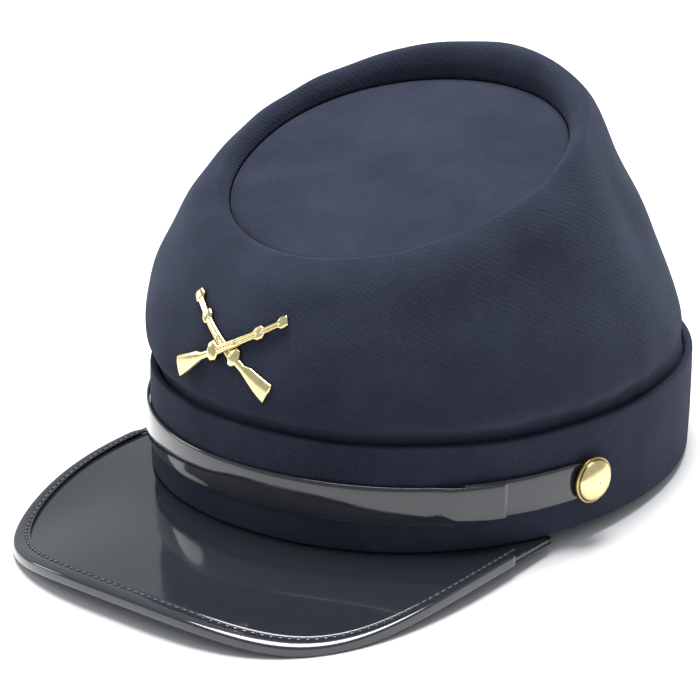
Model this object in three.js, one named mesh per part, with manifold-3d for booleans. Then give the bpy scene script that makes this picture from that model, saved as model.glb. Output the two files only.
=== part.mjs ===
// Kepi cap: a soft cloth crown that leans forward to a sunk oval top, a cloth band, a glossy
// peak, a chin strap buttoned at both temples and a brass badge of two crossed rifles.
// Millimetres, +Z up, the cap faces -Y, +X is the wearer's left. It stands on a table at Z = 0,
// on the two front corners of its peak and the back of its band.
import * as THREE from "three";
import { mergeVertices } from "three/addons/utils/BufferGeometryUtils.js";
import Module from "manifold-3d";

// Cap frame: Z = 0 at the band's lower edge, the origin at the middle of the band's oval.
const REST_TILT = THREE.MathUtils.degToRad(2.63); // the peak lifts the front this much on a table
const REST_FLAT = 0.25; // cloth and leather pressed flat where they touch the table
const GAP = 0.3; // clearance between sewn pieces

const BAND_HALF_WIDTH = 88; // outside of the band, side to side
const BAND_HALF_LENGTH = 100; // outside of the band, front to back
const BAND_HEIGHT = 36;
const BAND_WALL = 2.6;
const OVAL_POWER = 2.12; // a little squarer than an ellipse

const CLOTH = 2; // crown and top cloth
const CROWN_TUCK = 14; // height of the crown's lower edge, inside the band
const RIM_CENTRE = { y: -16, z: 109.5 };
const RIM_TILT = THREE.MathUtils.degToRad(19.4); // the top slopes down to the front
const RIM_HALF_WIDTH = 63;
const RIM_HALF_LENGTH = 69;
const TOP_CENTRE = -2.5; // the sewn-in top lies this far ahead of the rim's centre
const TOP_HALF_WIDTH = 56.5;
const TOP_HALF_LENGTH = 60;
const TOP_DOME = 1.5; // the top swells a little at its middle

const PEAK_THICKNESS = 1.8;
const PEAK_ROOT_Y = -41; // the peak's ends meet the band here
const PEAK_HALF_WIDTH = 83;
const PEAK_LENGTH = 117.5; // from the line between its ends to its front edge
const PEAK_POWER = 3.2; // how square the front corners are
const PEAK_FRONT_DROP = 3.2; // front edge below the peak's root
const PEAK_CORNER_DROP = 6.4; // further drop of the corners
const BINDING_WIDTH = 6.5; // leather folded over the peak's edge and sewn
const BINDING_THICKNESS = 0.8;
const BINDING_END = THREE.MathUtils.degToRad(80); // it stops short of the band

const STRAP_LOW = 10.7;
const STRAP_HIGH = 23.3;
const STRAP_THICKNESS = 1.3;
const STRAP_TIP_WIDTH = 6; // width of the rounded ends under the buttons
const STRAP_TIP_LENGTH = 10;
const TAB_END_ANGLE = THREE.MathUtils.degToRad(48); // hidden end of the short strap
const LAP_ANGLE = THREE.MathUtils.degToRad(55.9); // end of the long strap, lapped over the short one

const BUTTON_ANGLE = THREE.MathUtils.degToRad(75); // from the front, round the band
const BUTTON_RADIUS = 8;
const BUTTON_RISE = 4.6;

const BADGE_HEIGHT = 60; // middle of the badge on the front of the crown
const BADGE_ASIDE = -8; // pinned a little to the wearer's right
const RIFLE_LENGTH = 53;
const RIFLE_CROSS_AT = 0.46; // share of its length from the butt to the crossing
const RIFLE_CROSSING = THREE.MathUtils.degToRad(26); // each rifle's slope
const RIFLE_DEPTH = 1.5;
const RIFLE_STEP = 0.7; // how far one rifle stands over the other

// Side wall of the crown, from the band up: lift is the share of the way from the band's top to
// the rim, and the others are how far the cloth puffs out at the front, the sides and the back.
const CROWN_SECTIONS = [
  { lift: -0.08, front: 0.0, side: 0.0, back: 0.0 },
  { lift: 0.04, front: 0.0, side: 0.0, back: 0.0 },
  { lift: 0.13, front: 4.4, side: 4.6, back: 0.4 },
  { lift: 0.28, front: 6.5, side: 6.5, back: 1.6 },
  { lift: 0.5, front: 7.0, side: 6.0, back: 3.2 },
  { lift: 0.74, front: 5.5, side: 4.5, back: 2.4 },
  { lift: 0.9, front: 4.0, side: 3.6, back: 2.2 },
  { lift: 0.98, front: 1.4, side: 1.2, back: 0.8 },
];

// Over the rim and down to the top's seam: share of the way in, and height over the seam as a
// share of the rim's height there.
const RIM_ROLL = [
  { inward: 0.2, rise: 1.3 },
  { inward: 0.5, rise: 1.36 },
  { inward: 0.84, rise: 0.8 },
  { inward: 1.0, rise: 0.0 },
];
const RIM_RISE = { front: 2.4, side: 4.4, back: 8.0 }; // rim's height over the sunk top

// Soft dents in the wall, and swellings where the depth is below zero: where round the crown in
// degrees, how high, how far each way, and how deep.
const DENTS = [
  { angle: -56, lift: 0.55, spread: 40, tall: 0.42, depth: -4.6 },
  { angle: 56, lift: 0.55, spread: 36, tall: 0.42, depth: -3.4 },
  { angle: 124, lift: 0.86, spread: 16, tall: 0.16, depth: 1.8 },
  { angle: 112, lift: 0.62, spread: 10, tall: 0.36, depth: 2.4 },
  { angle: 152, lift: 0.45, spread: 16, tall: 0.35, depth: 1.4 },
  { angle: -17, lift: 0.82, spread: 11, tall: 0.3, depth: 1.6 },
  { angle: 22, lift: 0.7, spread: 14, tall: 0.3, depth: 1.0 },
  { angle: -140, lift: 0.6, spread: 22, tall: 0.35, depth: 2.0 },
  { angle: 180, lift: 0.3, spread: 26, tall: 0.25, depth: -1.4 },
];

// Outline of one rifle: along the barrel from the butt, above and below the middle line, both
// as shares of the rifle's length.
const RIFLE_OUTLINE = [
  { along: 0.0, above: 0.056, below: 0.09 },
  { along: 0.1, above: 0.05, below: 0.07 },
  { along: 0.2, above: 0.044, below: 0.042 },
  { along: 0.25, above: 0.024, below: 0.03 },
  { along: 0.31, above: 0.024, below: 0.028 },
  { along: 0.335, above: 0.066, below: 0.056 },
  { along: 0.37, above: 0.07, below: 0.06 },
  { along: 0.4, above: 0.03, below: 0.034 },
  { along: 0.55, above: 0.027, below: 0.027 },
  { along: 0.72, above: 0.024, below: 0.024 },
  { along: 0.745, above: 0.042, below: 0.04 },
  { along: 0.785, above: 0.042, below: 0.04 },
  { along: 0.81, above: 0.02, below: 0.02 },
  { along: 0.92, above: 0.02, below: 0.02 },
  { along: 0.945, above: 0.042, below: 0.036 },
  { along: 1.0, above: 0.034, below: 0.03 },
];

const AROUND = 64; // stations round the cap
const CROWN_STEPS = 16; // rows up the crown's wall and over its rim
const PEAK_STATIONS = 44;
const STRAP_STATIONS = 46;
const BUTTON_SIDES = 20;

const wasm = await Module();
wasm.setup();

const vec = (x, y, z) => new THREE.Vector3(x, y, z);
const lerp = THREE.MathUtils.lerp;
const spacing = (count, from, to) => Array.from({ length: count + 1 }, (_, i) => lerp(from, to, i / count));

// A point of an oval outline; angle runs from the front towards the wearer's left.
function oval(halfWidth, halfLength, angle, power = OVAL_POWER) {
  const sin = Math.sin(angle);
  const cos = Math.cos(angle);
  const reach = (Math.abs(sin) ** power + Math.abs(cos) ** power) ** (-1 / power);
  return vec(halfWidth * sin * reach, -halfLength * cos * reach, 0);
}

// The band's outline moved outwards by offset, at a height.
function bandPoint(angle, offset, height) {
  const step = 1e-3;
  const here = oval(BAND_HALF_WIDTH, BAND_HALF_LENGTH, angle);
  const along = oval(BAND_HALF_WIDTH, BAND_HALF_LENGTH, angle + step);
  along.sub(oval(BAND_HALF_WIDTH, BAND_HALF_LENGTH, angle - step)).normalize();
  return here.add(vec(along.y, -along.x, 0).multiplyScalar(offset)).setZ(height);
}

// Value at an angle between the front, side and back figures of a table row.
function roundTheCap(row, angle) {
  const c = Math.cos(angle);
  return lerp(row.side, c > 0 ? row.front : row.back, c * c);
}

function dentAt(angle, lift) {
  const degrees = THREE.MathUtils.radToDeg(angle);
  return DENTS.reduce((sum, d) => {
    const turn = THREE.MathUtils.euclideanModulo(degrees - d.angle + 180, 360) - 180;
    const near = Math.exp(-((turn / d.spread) ** 2) - ((lift - d.lift) / d.tall) ** 2);
    return sum + d.depth * near;
  }, 0);
}

// A point in the rim's sloping plane, given across and back from the rim's centre.
function onRimPlane(x, back, rise = 0) {
  const c = Math.cos(RIM_TILT);
  const s = Math.sin(RIM_TILT);
  return vec(x, RIM_CENTRE.y + back * c - rise * s, RIM_CENTRE.z + back * s + rise * c);
}

// The crown's outer surface at one angle: up the wall, over the rim and down to the seam.
function crownProfile(angle) {
  const foot = bandPoint(angle, -BAND_WALL - GAP, BAND_HEIGHT);
  const crest = oval(RIM_HALF_WIDTH, RIM_HALF_LENGTH, angle, 2);
  const rim = onRimPlane(crest.x, crest.y);
  const outwards = vec(Math.sin(angle), -Math.cos(angle), 0);
  const points = [foot.clone().setZ(CROWN_TUCK)];
  for (const row of CROWN_SECTIONS) {
    const p = foot.clone().lerp(rim, Math.max(row.lift, 0));
    p.z = lerp(BAND_HEIGHT, rim.z, row.lift);
    const free = row.lift > 0.05 && row.lift < 1;
    const puff = free ? roundTheCap(row, angle) - dentAt(angle, row.lift) : 0;
    points.push(p.addScaledVector(outwards, puff));
  }
  const seam = oval(TOP_HALF_WIDTH, TOP_HALF_LENGTH, angle, 2);
  seam.y += TOP_CENTRE;
  const rise = roundTheCap(RIM_RISE, angle);
  for (const row of RIM_ROLL) {
    const across = crest.clone().lerp(seam, row.inward);
    points.push(onRimPlane(across.x, across.y, (row.rise - 1) * rise));
  }
  return new THREE.CatmullRomCurve3(points, false, "centripetal");
}

// Moves every point of a grid of rows along the grid's own normal.
function offsetGrid(grid, distance, closed) {
  const last = grid.length - 1;
  const row = (i) => grid[closed ? (i + grid.length) % grid.length : THREE.MathUtils.clamp(i, 0, last)];
  return grid.map((points, i) =>
    points.map((p, j) => {
      const along = row(i + 1)[j].clone().sub(row(i - 1)[j]);
      const up = points[Math.min(j + 1, points.length - 1)].clone().sub(points[Math.max(j - 1, 0)]);
      return p.clone().addScaledVector(along.cross(up).normalize(), distance);
    }),
  );
}

// A closed skin over a run of closed sections, joined end to end or capped.
function sweep(sections, closed) {
  const size = sections[0].length;
  const positions = sections.flat();
  const faces = [];
  const runs = closed ? sections.length : sections.length - 1;
  for (let i = 0; i < runs; i++) {
    for (let j = 0; j < size; j++) {
      const a = i * size + j;
      const b = i * size + ((j + 1) % size);
      const next = (((i + 1) % sections.length) - i) * size;
      faces.push([a, b, b + next], [a, b + next, a + next]);
    }
  }
  if (!closed) {
    const lastStart = (sections.length - 1) * size;
    for (let j = 0, k = size - 1; j + 1 < k; j++, k--) {
      faces.push([j, k, j + 1], [lastStart + j, lastStart + j + 1, lastStart + k]);
      if (j + 1 < k - 1) {
        faces.push([j + 1, k, k - 1], [lastStart + j + 1, lastStart + k - 1, lastStart + k]);
      }
    }
  }
  return facingOut(positions, faces);
}

// A geometry from points and triangles, with its faces turned outwards.
function facingOut(positions, faces) {
  const volume = faces.reduce((sum, [a, b, c]) => {
    const normal = positions[b].clone().cross(positions[c]);
    return sum + positions[a].dot(normal);
  }, 0);
  const index = faces.flatMap(([a, b, c]) => (volume > 0 ? [a, b, c] : [a, c, b]));
  const geometry = new THREE.BufferGeometry().setFromPoints(positions);
  geometry.setIndex(index);
  return geometry;
}

// Presses what lies under the table's level up to it, in the cap's own tilted frame.
function restOnTable(p) {
  const floor = -BAND_HALF_LENGTH * Math.sin(REST_TILT) + REST_FLAT;
  const level = p.z * Math.cos(REST_TILT) - p.y * Math.sin(REST_TILT);
  if (level < floor + REST_FLAT / 4) p.z += (floor - level) / Math.cos(REST_TILT);
  return p;
}

function crownGeometry() {
  const outer = Array.from({ length: AROUND }, (_, i) => crownProfile((i / AROUND) * 2 * Math.PI).getSpacedPoints(CROWN_STEPS));
  const inner = offsetGrid(outer, -CLOTH, true);
  return sweep(outer.map((points, i) => [...points, ...inner[i].toReversed()]), true);
}

// The sewn-in top: an oval panel, a little domed, that butts against the rolled rim.
function topGeometry() {
  const rings = [0, 0.45, 0.8, 1];
  const profile = [...rings, ...rings.toReversed()].map((r) => new THREE.Vector2(r, 0));
  const geometry = new THREE.LatheGeometry(profile, AROUND);
  const position = geometry.getAttribute("position");
  for (let i = 0; i < position.count; i++) {
    const column = i % profile.length;
    const r = profile[column].x;
    const angle = (Math.floor(i / profile.length) / AROUND) * 2 * Math.PI;
    const edge = oval(TOP_HALF_WIDTH - GAP, TOP_HALF_LENGTH - GAP, angle, 2).multiplyScalar(r);
    const sunk = -r * r * roundTheCap(RIM_RISE, angle) - (1 - r * r) * RIM_RISE.side;
    const face = column < rings.length ? 0 : -CLOTH;
    const p = onRimPlane(edge.x, edge.y + TOP_CENTRE, sunk + TOP_DOME * (1 - r * r) + face);
    position.setXYZ(i, p.x, p.y, p.z);
  }
  return outwardLathe(geometry);
}

// A lathe geometry as merged points, with its faces turned outwards.
function outwardLathe(geometry) {
  geometry.deleteAttribute("normal");
  geometry.deleteAttribute("uv");
  const merged = mergeVertices(geometry, 1e-3);
  const position = merged.getAttribute("position");
  const points = Array.from({ length: position.count }, (_, i) => vec().fromBufferAttribute(position, i));
  const index = merged.getIndex().array;
  const faces = [];
  for (let i = 0; i < index.length; i += 3) {
    const face = [index[i], index[i + 1], index[i + 2]];
    if (new Set(face).size === 3) faces.push(face);
  }
  return facingOut(points, faces);
}

// The band: a turned-over strip of cloth, rounded at its upper edge.
function bandGeometry() {
  const half = BAND_WALL / 2;
  const section = [
    { inset: 0, height: 0 },
    { inset: 0, height: BAND_HEIGHT / 2 },
    { inset: 0, height: BAND_HEIGHT - half },
    { inset: half / 2, height: BAND_HEIGHT },
    { inset: BAND_WALL, height: BAND_HEIGHT },
    { inset: BAND_WALL, height: BAND_HEIGHT / 2 },
    { inset: BAND_WALL, height: 0 },
  ];
  const sections = Array.from({ length: AROUND }, (_, i) =>
    section.map(({ inset, height }) => restOnTable(bandPoint((i / AROUND) * 2 * Math.PI, -inset, height))),
  );
  return sweep(sections, true);
}

// The peak's upper face: turn runs from end to end, and inset is measured back from the front
// edge, or as a share of the way to the band when it is below zero.
function peakPoint(turn, inset, height = 0) {
  const endAngle = Math.atan2(PEAK_HALF_WIDTH / BAND_HALF_WIDTH, -PEAK_ROOT_Y / BAND_HALF_LENGTH);
  const root = bandPoint((turn / (Math.PI / 2)) * endAngle, -BAND_WALL, -GAP);
  const edge = oval(PEAK_HALF_WIDTH, PEAK_LENGTH, turn, PEAK_POWER);
  const share = Math.abs(edge.x / PEAK_HALF_WIDTH) ** PEAK_POWER;
  const drop = PEAK_FRONT_DROP * (1 - share) + 4 * PEAK_CORNER_DROP * share * (1 - share);
  edge.y += PEAK_ROOT_Y;
  const width = Math.hypot(edge.x - root.x, edge.y - root.y);
  const out = inset < 0 ? 1 + inset : 1 - inset / width;
  const p = root.lerp(edge, out);
  p.z = -GAP - drop * Math.max(out, 0) ** 1.25 + height;
  return p;
}

function peakGeometry() {
  const edge = BINDING_THICKNESS + GAP;
  const sections = spacing(PEAK_STATIONS, -Math.PI / 2, Math.PI / 2).map((turn) => {
    const upper = [-1, -0.75, -0.5, -0.3].map((inset) => peakPoint(turn, inset));
    upper.push(peakPoint(turn, edge));
    const lower = upper.map((p) => p.clone().setZ(p.z - PEAK_THICKNESS)).toReversed();
    return [...upper, ...lower];
  });
  return sweep(sections, false);
}

// Leather folded over the peak's edge: outside from the upper lip to the lower, then back inside.
function bindingGeometry() {
  const outside = GAP + BINDING_THICKNESS;
  const under = -PEAK_THICKNESS - outside;
  const middle = -PEAK_THICKNESS / 2;
  const lip = BINDING_WIDTH;
  const outer = [[lip, outside], [lip / 2, outside], [0.7, outside * 0.8], [0, middle], [0.7, under + outside * 0.2], [lip / 2, under], [lip, under]];
  const inner = [[lip, GAP], [lip / 2, GAP], [1.0, GAP], [0.7, middle], [1.0, -PEAK_THICKNESS - GAP], [lip / 2, -PEAK_THICKNESS - GAP], [lip, -PEAK_THICKNESS - GAP]];
  const loop = [...outer, ...inner.toReversed()];
  const sections = spacing(PEAK_STATIONS, -BINDING_END, BINDING_END).map((turn) =>
    loop.map(([inset, height]) => restOnTable(peakPoint(turn, inset, height))),
  );
  return sweep(sections, false);
}

// A strap along the band between two angles, with rounded tips where it goes under a button.
// lift gives how far its back lies off the band at each angle.
function strapGeometry(from, to, tips, lift) {
  const middle = (STRAP_LOW + STRAP_HIGH) / 2;
  const sections = spacing(STRAP_STATIONS, from, to).map((angle) => {
    const away = (end) => Math.abs(angle - end) * BAND_HALF_WIDTH;
    const toTip = Math.min(STRAP_TIP_LENGTH, ...tips.map(away));
    const full = Math.sin((toTip / STRAP_TIP_LENGTH) * (Math.PI / 2));
    const half = lerp(STRAP_TIP_WIDTH, STRAP_HIGH - STRAP_LOW, full) / 2;
    const back = lift(angle);
    return [
      bandPoint(angle, back, middle - half),
      bandPoint(angle, back + STRAP_THICKNESS, middle - half),
      bandPoint(angle, back + STRAP_THICKNESS, middle + half),
      bandPoint(angle, back, middle + half),
    ];
  });
  return sweep(sections, false);
}

// A domed button with a flat back, its axis along +Z.
function buttonGeometry() {
  const edge = BUTTON_RISE * 0.26;
  const dome = spacing(6, 0, Math.PI / 2).map(
    (a) => new THREE.Vector2(Math.cos(a) * BUTTON_RADIUS, edge + Math.sin(a) * (BUTTON_RISE - edge)),
  );
  dome[dome.length - 1].x = 0;
  const profile = [new THREE.Vector2(0, 0), new THREE.Vector2(BUTTON_RADIUS * 0.9, 0), ...dome];
  const geometry = new THREE.LatheGeometry(profile, BUTTON_SIDES);
  geometry.rotateX(Math.PI / 2);
  return outwardLathe(geometry);
}

// A solid for joining, from a geometry of any kind.
function solid(geometry) {
  const bare = geometry.index ? geometry.toNonIndexed() : geometry;
  bare.deleteAttribute("normal");
  bare.deleteAttribute("uv");
  const merged = mergeVertices(bare, 1e-4);
  return new wasm.Manifold(
    new wasm.Mesh({
      numProp: 3,
      vertProperties: merged.getAttribute("position").array,
      triVerts: new Uint32Array(merged.index.array),
    }),
  );
}

// The crown's wall at an angle and a height, and the way it faces.
function crownWall(angle, height) {
  const at = (a, h) => {
    const profile = crownProfile(a);
    let low = 0;
    let high = 0.6;
    for (let i = 0; i < 30; i++) {
      const half = (low + high) / 2;
      if (profile.getPoint(half).z < h) low = half;
      else high = half;
    }
    return profile.getPoint(low);
  };
  const step = 0.02;
  const along = at(angle + step, height).sub(at(angle - step, height));
  const up = at(angle, height + 1).sub(at(angle, height - 1));
  return { point: at(angle, height), normal: along.cross(up).normalize(), up: up.normalize() };
}

// One rifle laid on the front of the crown, its muzzle up to one side, its back off the cloth.
function rifleGeometry(side, off) {
  const front = crownWall(0, BADGE_HEIGHT);
  const cos = Math.cos(RIFLE_CROSSING);
  const sin = Math.sin(RIFLE_CROSSING);
  const onCrown = (along, aside, rise) => {
    const x = side * (along * cos - aside * sin) + BADGE_ASIDE;
    const y = along * sin + aside * cos;
    const wall = crownWall(x / -front.point.y, BADGE_HEIGHT + y * front.up.z);
    return wall.point.addScaledVector(wall.normal, off + rise);
  };
  const halfway = (a, b) => ({
    along: (a.along + b.along) / 2,
    above: (a.above + b.above) / 2,
    below: (a.below + b.below) / 2,
  });
  const rows = RIFLE_OUTLINE.flatMap((row, i) => (i ? [halfway(RIFLE_OUTLINE[i - 1], row), row] : [row]));
  const sections = rows.map((row) => {
    const along = (row.along - RIFLE_CROSS_AT) * RIFLE_LENGTH;
    const above = row.above * RIFLE_LENGTH;
    const below = -row.below * RIFLE_LENGTH;
    const corners = [[below, 0], [below, RIFLE_DEPTH], [above, RIFLE_DEPTH], [above, 0]];
    return corners.map(([aside, rise]) => onCrown(along, aside, rise));
  });
  return sweep(sections, false);
}

// Two rifles crossed butt down and soldered into one badge.
function badgeGeometry() {
  const mesh = solid(rifleGeometry(-1, GAP)).add(solid(rifleGeometry(1, GAP + RIFLE_STEP))).getMesh();
  const geometry = new THREE.BufferGeometry();
  geometry.setAttribute("position", new THREE.BufferAttribute(mesh.vertProperties, 3));
  geometry.setIndex(new THREE.BufferAttribute(mesh.triVerts, 1));
  return geometry;
}

const cloth = () => new THREE.MeshStandardMaterial({ color: 0x262c40, roughness: 0.95, metalness: 0 });
const patent = () => new THREE.MeshStandardMaterial({ color: 0x0d0f13, roughness: 0.12, metalness: 0 });
const brass = () => new THREE.MeshStandardMaterial({ color: 0xd9b65a, roughness: 0.3, metalness: 1 });

const cap = new THREE.Group();
function piece(name, geometry, material) {
  const mesh = new THREE.Mesh(geometry, material);
  mesh.name = name;
  cap.add(mesh);
  return mesh;
}

piece("crown", crownGeometry(), cloth());
piece("crown_top", topGeometry(), cloth());
piece("band", bandGeometry(), cloth());
piece("peak", peakGeometry(), patent());
piece("peak_binding", bindingGeometry(), patent());

// The long strap steps up over the end of the short one before its own end.
const lapped = STRAP_THICKNESS + 2 * GAP;
const stepUp = (angle) => lerp(GAP, lapped, THREE.MathUtils.smoothstep(angle, TAB_END_ANGLE - 0.12, TAB_END_ANGLE - 0.03));
const buttonReach = BUTTON_ANGLE + STRAP_TIP_WIDTH / BAND_HALF_WIDTH / 2;
piece("chin_strap", strapGeometry(-buttonReach, LAP_ANGLE, [-buttonReach], stepUp), patent());
piece("strap_tab", strapGeometry(TAB_END_ANGLE, buttonReach, [buttonReach], () => GAP), patent());

for (const [name, side] of [["button_right", -1], ["button_left", 1]]) {
  const seat = bandPoint(side * BUTTON_ANGLE, STRAP_THICKNESS + 2 * GAP, (STRAP_LOW + STRAP_HIGH) / 2);
  const ahead = bandPoint(side * BUTTON_ANGLE, STRAP_THICKNESS + 2 * GAP + 1, (STRAP_LOW + STRAP_HIGH) / 2);
  const button = piece(name, buttonGeometry(), brass());
  button.position.copy(seat);
  button.quaternion.setFromUnitVectors(vec(0, 0, 1), ahead.sub(seat).normalize());
}

piece("badge", badgeGeometry(), brass());

// Stand the cap on the table, centred over the origin.
const kepi = new THREE.Group();
kepi.add(cap);
cap.rotation.x = -REST_TILT;
const box = new THREE.Box3().setFromObject(kepi, true);
cap.position.set(0, -(box.min.y + box.max.y) / 2, -box.min.z);

export default kepi;
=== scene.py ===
"""Kepi cap: wool crown and band, patent peak and chin strap, brass buttons and badge.

Shapes are worked out in millimetres in the cap's own frame (Z = 0 at the band's lower edge, the
cap facing -Y, +X the wearer's left) and then tilted and moved onto the table in metres.
"""
import math

import bpy
import numpy as np
from mathutils import Matrix, Vector


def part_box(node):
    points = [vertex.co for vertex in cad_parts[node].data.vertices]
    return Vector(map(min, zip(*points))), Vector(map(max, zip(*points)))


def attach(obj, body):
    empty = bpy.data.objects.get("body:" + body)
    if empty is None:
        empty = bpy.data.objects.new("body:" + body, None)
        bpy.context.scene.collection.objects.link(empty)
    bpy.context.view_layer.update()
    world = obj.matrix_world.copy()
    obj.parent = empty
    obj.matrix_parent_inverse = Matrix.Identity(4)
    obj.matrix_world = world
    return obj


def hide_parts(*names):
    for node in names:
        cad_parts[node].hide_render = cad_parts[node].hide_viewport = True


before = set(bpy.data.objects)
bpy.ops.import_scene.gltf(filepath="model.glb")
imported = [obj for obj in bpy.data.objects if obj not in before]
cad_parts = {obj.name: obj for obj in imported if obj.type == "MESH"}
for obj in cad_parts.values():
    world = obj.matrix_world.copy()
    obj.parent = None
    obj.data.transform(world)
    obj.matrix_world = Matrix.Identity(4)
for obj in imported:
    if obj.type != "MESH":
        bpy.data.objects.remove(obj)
bpy.context.view_layer.update()

MM = 0.001
SEED = 11

# Cap dimensions, as in the solids
REST_TILT = math.radians(2.63)
REST_FLAT = 0.25
GAP = 0.3
BAND_HALF_WIDTH, BAND_HALF_LENGTH = 88.0, 100.0
BAND_HEIGHT, BAND_WALL, OVAL_POWER = 36.0, 2.6, 2.12
CLOTH = 2.0
HEM = 0.6  # cloth turned in at the top's seam
CROWN_TUCK = 14.0
RIM_Y, RIM_Z, RIM_TILT = -16.0, 109.5, math.radians(19.4)
RIM_HALF_WIDTH, RIM_HALF_LENGTH = 63.0, 69.0
TOP_CENTRE, TOP_HALF_WIDTH, TOP_HALF_LENGTH, TOP_DOME = -2.5, 56.5, 60.0, 1.5
PEAK_THICKNESS, PEAK_ROOT_Y = 1.8, -41.0
PEAK_HALF_WIDTH, PEAK_LENGTH, PEAK_POWER = 83.0, 117.5, 3.2
PEAK_FRONT_DROP, PEAK_CORNER_DROP = 3.2, 6.4
BINDING_WIDTH, BINDING_THICKNESS, BINDING_END = 6.5, 0.8, math.radians(80)
BINDING_FOLD = 0.9  # rounding of the binding, and its inside at the peak's edge
STITCH_INSET, STITCH_SPACING, STITCH_SUNK = 5.0, 2.8, 0.12  # row of stitches along the binding
STITCH_LENGTH, THREAD_WIDTH = 2.1, 0.75
GROOVE_DEPTH, GROOVE_SPREAD = 0.4, 0.5  # where the stitches pull the binding down
STRAP_LOW, STRAP_HIGH, STRAP_THICKNESS = 10.7, 23.3, 1.3
STRAP_EDGE, STRAP_SWELL = 0.42, 0.3  # rounding of its edges, rise along its middle
STRAP_TIP_WIDTH, STRAP_TIP_LENGTH = 6.0, 10.0
TAB_END, LAP_END = math.radians(48), math.radians(55.9)
CLIMB_START, CLIMB_END = TAB_END - 0.12, TAB_END - 0.03  # where the long strap climbs onto the tab
BUTTON_ANGLE, BUTTON_RADIUS, BUTTON_RISE = math.radians(75), 8.0, 4.6
DOME_RADIUS, DOME_FOOT = 7.1, 1.6
RING_RADIUS, RING_SPREAD = 7.15, 0.2  # dull ring between the button's rim and its dome
BADGE_HEIGHT, BADGE_ASIDE = 60.0, -8.0
RIFLE_LENGTH, RIFLE_CROSS_AT = 53.0, 0.46
RIFLE_SLOPE, RIFLE_DEPTH, RIFLE_STEP = math.radians(26), 1.5, 0.7
RIFLE_BARREL = (0.38, 0.94)  # start and end, as shares of the rifle's length
RIFLE_BANDS = [(0.765, 0.022), (0.56, 0.014)]  # place and half-width, as shares
RIFLE_LOCK = (0.352, 0.03)

# Crown wall: share of the way up, and how far it puffs out at the front, sides and back
CROWN_SECTIONS = [
    (-0.08, 0.0, 0.0, 0.0),
    (0.04, 0.0, 0.0, 0.0),
    (0.13, 4.4, 4.6, 0.4),
    (0.28, 6.5, 6.5, 1.6),
    (0.5, 7.0, 6.0, 3.2),
    (0.74, 5.5, 4.5, 2.4),
    (0.9, 4.0, 3.6, 2.2),
    (0.98, 1.4, 1.2, 0.8),
]
RIM_ROLL = [(0.2, 1.3), (0.5, 1.36), (0.84, 0.8), (1.0, 0.0)]  # share inward, share of the rise
RIM_RISE = (2.4, 4.4, 8.0)  # rim over the sunk top at the front, sides and back
# Dents (or swellings, below zero): angle, height, spread each way, depth
DENTS = [
    (-56, 0.55, 40, 0.42, -4.6),
    (56, 0.55, 36, 0.42, -3.4),
    (124, 0.86, 16, 0.16, 1.8),
    (112, 0.62, 10, 0.36, 2.4),
    (152, 0.45, 16, 0.35, 1.4),
    (-17, 0.82, 11, 0.3, 1.6),
    (22, 0.7, 14, 0.3, 1.0),
    (-140, 0.6, 22, 0.35, 2.0),
    (180, 0.3, 26, 0.25, -1.4),
]
# Rifle from butt to muzzle: along, above and below its middle line, as shares of its length
RIFLE_OUTLINE = [
    (0.0, 0.056, 0.09), (0.1, 0.05, 0.07), (0.2, 0.044, 0.042), (0.25, 0.024, 0.03),
    (0.31, 0.024, 0.028), (0.335, 0.066, 0.056), (0.37, 0.07, 0.06), (0.4, 0.03, 0.034),
    (0.55, 0.027, 0.027), (0.72, 0.024, 0.024), (0.745, 0.042, 0.04), (0.785, 0.042, 0.04),
    (0.81, 0.02, 0.02), (0.92, 0.02, 0.02), (0.945, 0.042, 0.036), (1.0, 0.034, 0.03),
]
# Button from the middle of its back round the rim to the dome: share of its radius, height
BUTTON_RIM = [
    (0.00125, 0.0), (0.625, 0.0), (0.9, 0.1), (0.975, 0.5),
    (1.0, 1.05), (0.98125, 1.5), (0.9375, 1.72), (0.9, 1.68),
]

# Soft waves, in millimetres
GATHERS, GATHER_DEPTH, GATHER_REACH = 34, 0.3, 14.0  # round the foot of the crown
SLACK_DEPTHS = (0.45, 0.25)
TOP_RIPPLE, SEAM_DIP = 0.25, 0.3
BAND_WAVES, BAND_EDGE_WAVE, BAND_EDGE = (0.18, 0.12), 0.15, 1.0
STRAP_WAVE, STRAP_WANDER = 0.05, 0.2

# Steps of the meshes
CROWN_COUNT, CROWN_STEPS = 256, [4, 2, 5, 7, 9, 9, 7, 7, 6, 6, 6, 5]
RIM_ROWS, HEM_ROWS, HEM_FADE = 14, 26, 12  # rows back from the top's seam
TOP_COUNT, TOP_RINGS = 160, 28
BAND_COUNT, PEAK_COUNT, PEAK_ROWS = 288, 181, 30
BINDING_COUNT, STRAP_COUNT = 221, 161
BUTTON_COUNT, DOME_COUNT, RIFLE_COUNT = 56, 16, 110

# Colours
WOOL_DARK, WOOL_LIGHT = (0.0115, 0.0142, 0.0255, 1), (0.02, 0.0245, 0.041, 1)
NO_FLECK, WOOL_FLECK = (0.0, 0.0, 0.0, 1), (0.045, 0.053, 0.085, 1)
WOOL_SHEEN = (0.45, 0.54, 0.8, 1)
PATENT_CLEAN, PATENT_SCUFFED = (0.019, 0.021, 0.027, 1), (0.034, 0.036, 0.043, 1)
BRASS_HOLLOW, BRASS_RAISED = (0.2, 0.13, 0.045, 1), (0.95, 0.82, 0.42, 1)
TARNISHED, POLISHED = (0.72, 0.68, 0.6, 1), (1.0, 1.0, 1.0, 1)
THREAD_DARK, THREAD_LIGHT = (0.03, 0.032, 0.037, 1), (0.13, 0.135, 0.15, 1)
PAPER_DARK, PAPER_LIGHT = (0.88, 0.88, 0.88, 1), (0.93, 0.93, 0.93, 1)

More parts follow.
